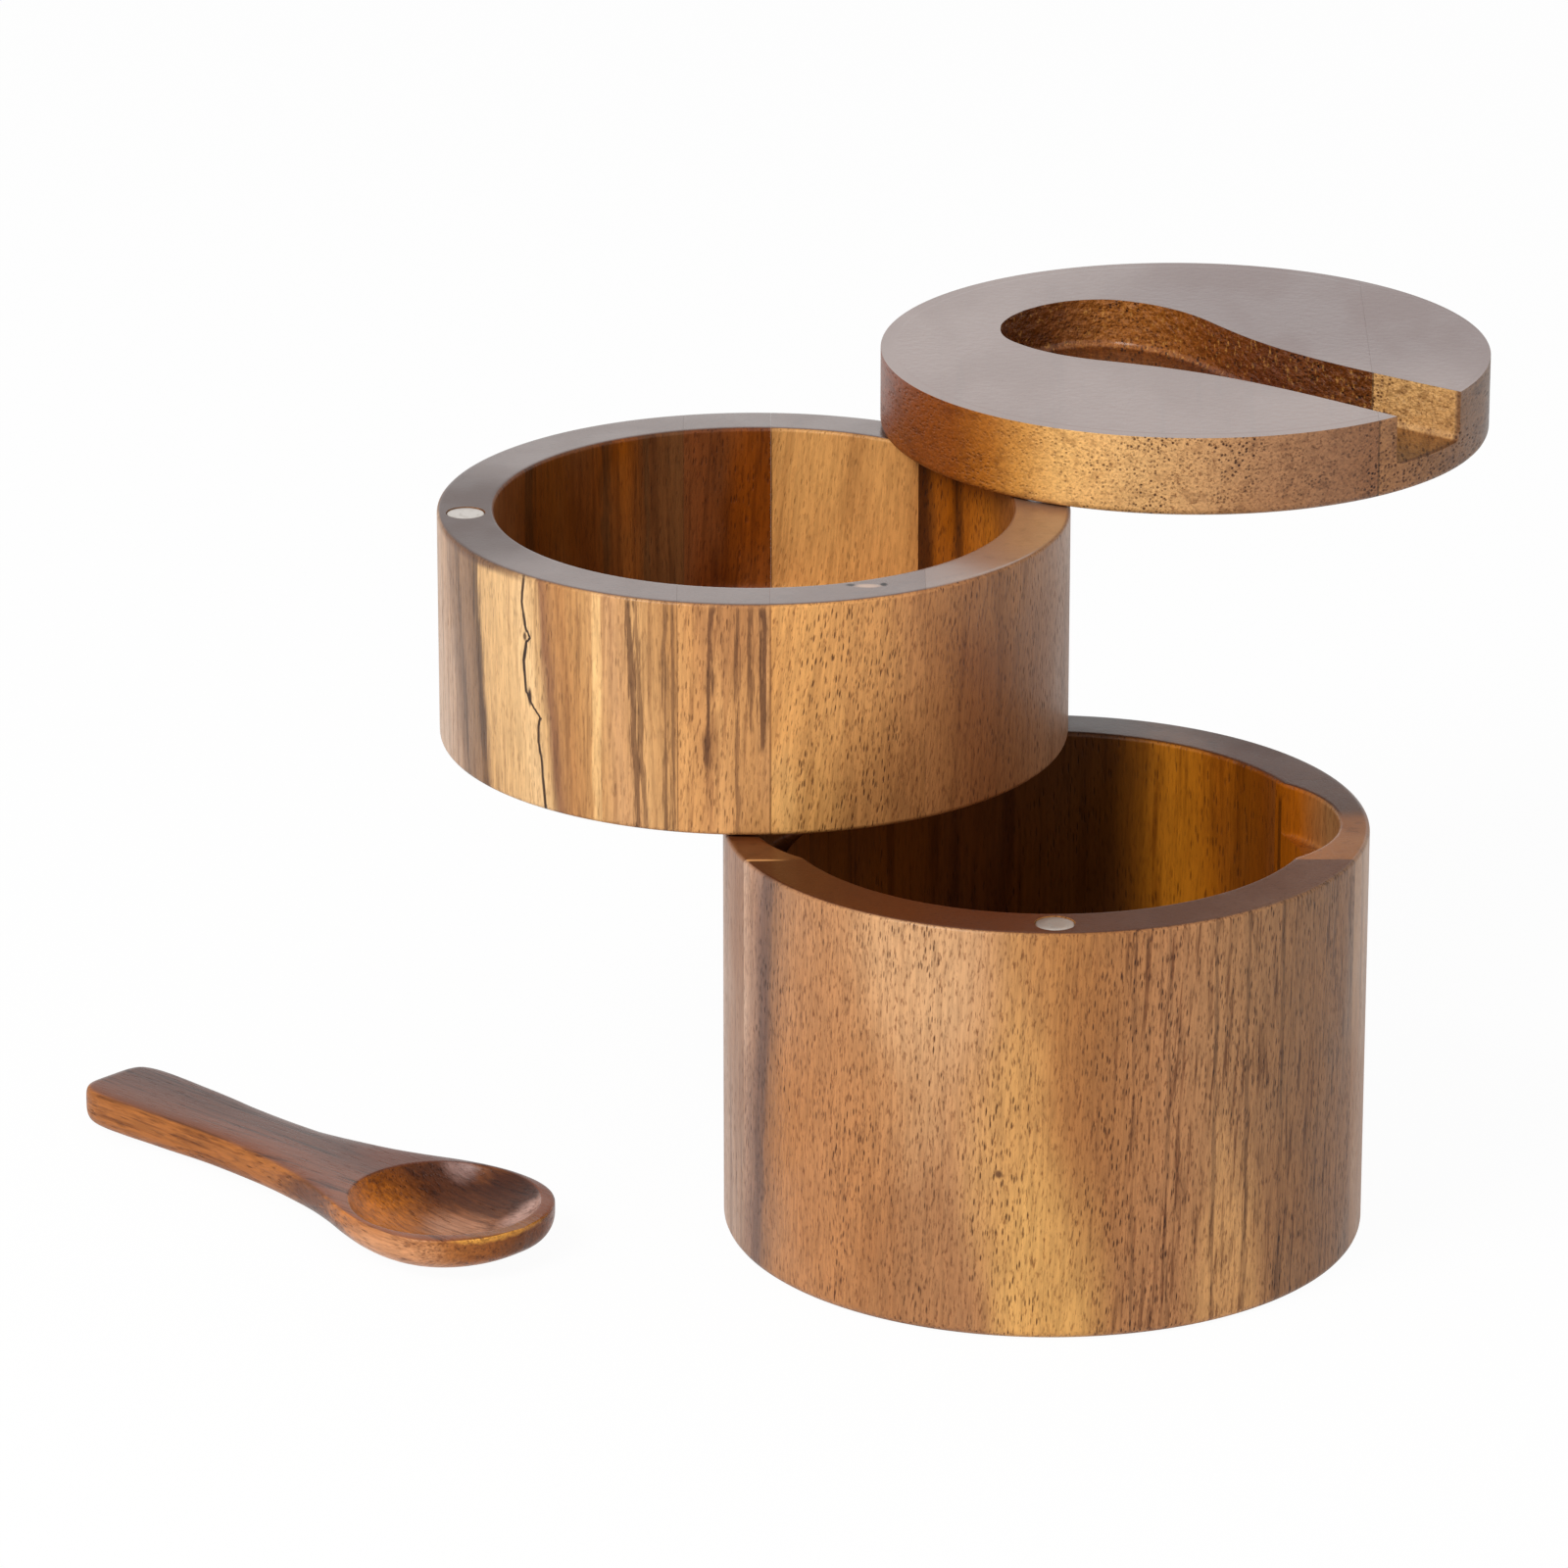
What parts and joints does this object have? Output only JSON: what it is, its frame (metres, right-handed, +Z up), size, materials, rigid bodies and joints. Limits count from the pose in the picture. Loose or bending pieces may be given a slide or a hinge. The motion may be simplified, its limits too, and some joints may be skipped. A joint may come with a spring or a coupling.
{
  "type": "salt cellar",
  "caption": "Round wooden salt cellar: a deep base bowl and a shallow upper bowl that swivel on a shared rear pivot, under a disc lid with a spoon-shaped recess, with its spoon.",
  "frame": {"origin": "centre of the underside of the base bowl, on the surface that it stands on", "axes": "+Z up along the base bowl's axis, -Y towards the front, where the closing magnets meet when the box is shut, +Y towards the pivots"},
  "size_m": [0.2268, 0.1832, 0.117],
  "materials": {
    "golden_acacia": "satin lacquer over golden brown acacia with fine dark pores",
    "amber_acacia": "satin lacquer over amber acacia",
    "walnut_acacia": "satin lacquer over dark brown acacia",
    "sapwood": "satin lacquer over pale sapwood with a dark heart streak",
    "streaked_acacia": "satin lacquer over streaked brown acacia",
    "honey_acacia": "satin lacquer over honey coloured acacia",
    "lid_acacia": "satin lacquer over reddish brown acacia",
    "spoon_wood": "satin lacquer over reddish brown wood",
    "nickel": "bright nickel plate on a disc magnet",
    "steel": "plain ground steel pin"
  },
  "bodies": {
    "base": {"base_front_board": "golden_acacia", "base_middle_board": "amber_acacia", "base_back_board": "walnut_acacia", "base_rim_magnet": "nickel", "lower_pivot_pin": "steel"},
    "tray": {"tray_front_board": "sapwood", "tray_second_board": "streaked_acacia", "tray_third_board": "honey_acacia", "tray_back_board": "amber_acacia", "tray_rim_magnet": "nickel", "tray_underside_magnet": "nickel", "upper_pivot_pin": "steel"},
    "lid": {"lid_wide_board": "lid_acacia", "lid_narrow_board": "streaked_acacia", "lid_magnet": "nickel"},
    "spoon": {"spoon": "spoon_wood"}
  },
  "joints": [
    {"name": "tray_swivel", "type": "hinge", "parent": "base", "child": "tray", "pos_m": [0, 0.0455, 0.0663], "axis": [0, 0, 1], "continuous": true},
    {"name": "lid_swivel", "type": "hinge", "parent": "tray", "child": "lid", "pos_m": [0, 0.0455, 0.1041], "axis": [0, 0, 1], "continuous": true},
    {"name": "spoon_lift", "type": "slide", "parent": "base", "child": "spoon", "axis": [0, 0, 1], "range_m": [0, 0.05]}
  ]
}
